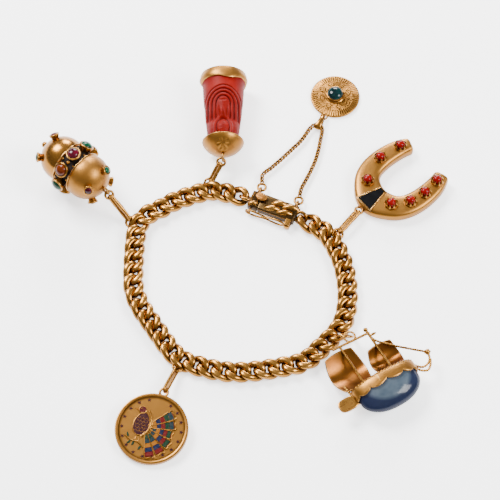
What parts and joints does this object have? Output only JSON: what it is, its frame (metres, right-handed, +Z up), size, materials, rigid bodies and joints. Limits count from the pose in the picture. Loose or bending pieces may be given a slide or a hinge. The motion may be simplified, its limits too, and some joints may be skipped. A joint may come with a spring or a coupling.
{
  "type": "charm bracelet",
  "caption": "Gold curb-link bracelet with a box clasp, safety latch and safety chain, worn round the wrist, hung with a ball, carved figure, disc, horseshoe, ship and coin.",
  "frame": {"origin": "on the table under the middle of the whole bracelet's box", "axes": "+Z up from the table it lies on, +Y away from the viewer towards the disc charm, +X towards the horseshoe charm"},
  "size_m": [0.1084, 0.1152, 0.0158],
  "materials": {
    "gold": "polished yellow gold",
    "satin_gold": "satin yellow gold",
    "coral": "polished red coral",
    "onyx": "polished black stone",
    "ruby": "dark red cabochon",
    "amber": "orange cabochon",
    "green_stone": "green cabochon",
    "garnet": "deep red cabochon",
    "blue_stone": "grey-blue polished stone"
  },
  "bodies": {
    "bracelet": {"ball_band_stone_1": "ruby", "ball_band_stone_2": "amber", "ball_band_stone_3": "green_stone", "ball_band_stone_4": "garnet", "ball_band_stone_5": "amber", "ball_band_stone_6": "ruby", "ball_band_stone_7": "garnet", "ball_band_stone_8": "green_stone", "ball_body": "satin_gold", "ball_link": "gold", "ball_ring": "gold", "ball_small_stone_1": "green_stone", "ball_small_stone_2": "ruby", "ball_small_stone_3": "green_stone", "ball_small_stone_4": "ruby", "ball_small_stone_5": "ruby", "ball_small_stone_6": "ruby", "ball_small_stone_7": "green_stone", "ball_small_stone_8": "green_stone", "clasp_box": "gold", "clasp_tongue": "gold", "coin_link": "gold", "coin_medal": "gold", "coral_base_cap": "satin_gold", "coral_carving": "coral", "coral_hat": "satin_gold", "coral_link": "gold", "coral_ring": "gold", "curb_chain": "gold", "disc_bail": "satin_gold", "disc_plate": "satin_gold", "disc_stone": "green_stone", "horseshoe_body": "satin_gold", "horseshoe_coral_1": "coral", "horseshoe_coral_2": "coral", "horseshoe_coral_3": "coral", "horseshoe_coral_4": "coral", "horseshoe_coral_5": "coral", "horseshoe_coral_6": "coral", "horseshoe_coral_7": "coral", "horseshoe_link": "gold", "horseshoe_onyx": "onyx", "safety_chain": "gold", "safety_ring_left": "gold", "safety_ring_right": "gold", "ship_hull": "blue_stone", "ship_rig": "gold"},
    "latch": {"safety_latch": "gold"},
    "thumb_piece": {"clasp_thumb_piece": "gold"}
  },
  "joints": [
    {"name": "latch_hinge", "type": "hinge", "parent": "bracelet", "child": "latch", "pos_m": [0.01139, 0.01027, 0.00148], "axis": [0, 0, 1], "range_deg": [0, 110]},
    {"name": "thumb_press", "type": "hinge", "parent": "bracelet", "child": "thumb_piece", "pos_m": [0.00879, 0.01535, 0.00157], "axis": [-0.3907, -0.9205, 0], "range_deg": [0, 4], "stiffness_Nm_per_rad": 0.02}
  ]
}
